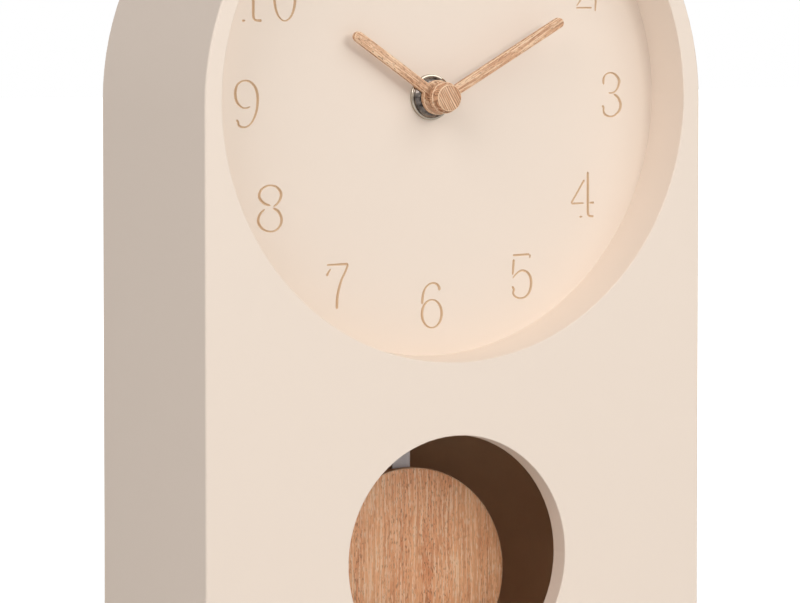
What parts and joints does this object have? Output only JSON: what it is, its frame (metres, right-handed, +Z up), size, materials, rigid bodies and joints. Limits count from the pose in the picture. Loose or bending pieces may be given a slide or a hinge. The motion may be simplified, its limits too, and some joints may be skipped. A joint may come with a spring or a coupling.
{
  "type": "desk pendulum clock",
  "caption": "Free-standing quartz clock with an arched case, a round sunken dial with plain numbers, slim wooden hands and a round window over a swinging wooden bob.",
  "frame": {"origin": "on the table, under the middle of the case", "axes": "+X to the right seen from the front, +Y from the dial to the back, +Z up"},
  "size_m": [0.15, 0.061, 0.25],
  "materials": {
    "case_plastic": "smooth satin moulding, warm white",
    "dial_plastic": "smooth satin, warm white",
    "cover_board": "dark brown, fine matt",
    "screw_steel": "zinc-plated",
    "foot_rubber": "soft matt",
    "movement_plastic": "black, fine grain",
    "plate_plastic": "plain white",
    "wheel_plastic": "plain white",
    "bush_brass": "turned",
    "nut_chrome": "polished",
    "hand_oak": "light oak, oiled",
    "bob_oak": "light oak, oiled",
    "motor_iron": "stamped sheet",
    "magnet_ferrite": "dark ferrite",
    "coil_copper": "enamelled copper wire",
    "board_green": "green lacquer",
    "chip_resin": "black resin drop",
    "contact_nickel": "nickel-plated spring sheet",
    "cell_can": "plain metal can",
    "rod_steel": "brushed",
    "backing_plastic": "black"
  },
  "bodies": {
    "case": {"front_shell": "case_plastic", "dial": "dial_plastic", "back_cover": "cover_board", "cover_screws": "screw_steel", "rubber_feet": "foot_rubber", "movement_front_plate": "movement_plastic", "movement_rear_case": "movement_plastic", "middle_plate": "plate_plastic", "fixing_bush": "bush_brass", "rubber_washer": "foot_rubber", "dial_nut": "nut_chrome", "stator": "motor_iron", "coil_core": "motor_iron", "coil_bobbin": "plate_plastic", "motor_coil": "coil_copper", "circuit_board": "board_green", "quartz_crystal": "contact_nickel", "control_chip": "chip_resin", "negative_contact": "contact_nickel", "positive_contact": "contact_nickel", "drive_bobbin": "plate_plastic", "drive_coil": "coil_copper", "pivot_pin": "rod_steel"},
    "minute_hand": {"minute_hand": "hand_oak", "hand_cap": "hand_oak", "minute_arbor": "bush_brass"},
    "hour_hand": {"hour_hand": "hand_oak", "hour_wheel": "wheel_plastic"},
    "minute_wheel": {"minute_wheel": "wheel_plastic"},
    "setting_knob": {"setting_knob": "movement_plastic"},
    "centre_wheel": {"centre_wheel": "wheel_plastic"},
    "third_wheel": {"third_wheel": "wheel_plastic"},
    "second_wheel": {"second_wheel": "wheel_plastic"},
    "intermediate_wheel": {"intermediate_wheel": "wheel_plastic"},
    "rotor": {"rotor_pinion": "wheel_plastic", "rotor_magnet": "magnet_ferrite"},
    "pendulum": {"pendulum_hanger": "backing_plastic", "drive_magnet": "magnet_ferrite", "pendulum_rod": "rod_steel", "pendulum_bob": "bob_oak", "bob_backing": "backing_plastic"},
    "battery": {"battery": "cell_can"}
  },
  "joints": [
    {"name": "minute_hand_turn", "type": "hinge", "parent": "case", "child": "minute_hand", "pos_m": [0, -0.0079, 0.176], "axis": [0, 1, 0], "continuous": true},
    {"name": "hour_hand_turn", "type": "hinge", "parent": "case", "child": "hour_hand", "pos_m": [0, -0.0095, 0.176], "axis": [0, 1, 0], "continuous": true},
    {"name": "minute_wheel_turn", "type": "hinge", "parent": "case", "child": "minute_wheel", "pos_m": [-0.00902, -0.0079, 0.17272], "axis": [0, 1, 0], "continuous": true},
    {"name": "setting_knob_turn", "type": "hinge", "parent": "case", "child": "setting_knob", "pos_m": [-0.0123, -0.0079, 0.1637], "axis": [0, 1, 0], "continuous": true},
    {"name": "second_wheel_turn", "type": "hinge", "parent": "case", "child": "second_wheel", "pos_m": [0, -0.0015, 0.176], "axis": [0, 1, 0], "continuous": true},
    {"name": "rotor_turn", "type": "hinge", "parent": "case", "child": "rotor", "pos_m": [-0.0053, -0.0026, 0.16458], "axis": [0, 1, 0], "continuous": true},
    {"name": "intermediate_wheel_turn", "type": "hinge", "parent": "case", "child": "intermediate_wheel", "pos_m": [-0.00222, 0.0001, 0.16991], "axis": [0, 1, 0], "continuous": true},
    {"name": "third_wheel_turn", "type": "hinge", "parent": "case", "child": "third_wheel", "pos_m": [0.00795, -0.0031, 0.17141], "axis": [0, 1, 0], "continuous": true},
    {"name": "centre_wheel_turn", "type": "hinge", "parent": "case", "child": "centre_wheel", "pos_m": [0, -0.0063, 0.176], "axis": [0, 1, 0], "continuous": true},
    {"name": "pendulum_swing", "type": "hinge", "parent": "case", "child": "pendulum", "pos_m": [0, 0.0021, 0.14], "axis": [0, 1, 0], "range_deg": [-12, 12]},
    {"name": "battery_out", "type": "slide", "parent": "case", "child": "battery", "axis": [0, 1, 0], "range_m": [0, 0.045]}
  ],
  "couplings": [
    {"joint": "hour_hand_turn", "follows": "minute_hand_turn", "ratio": 0.083333},
    {"joint": "minute_wheel_turn", "follows": "minute_hand_turn", "ratio": -0.33333},
    {"joint": "setting_knob_turn", "follows": "minute_hand_turn", "ratio": 1},
    {"joint": "rotor_turn", "follows": "second_wheel_turn", "ratio": 30},
    {"joint": "intermediate_wheel_turn", "follows": "second_wheel_turn", "ratio": -5},
    {"joint": "third_wheel_turn", "follows": "second_wheel_turn", "ratio": -0.13333},
    {"joint": "centre_wheel_turn", "follows": "second_wheel_turn", "ratio": 0.016667}
  ]
}
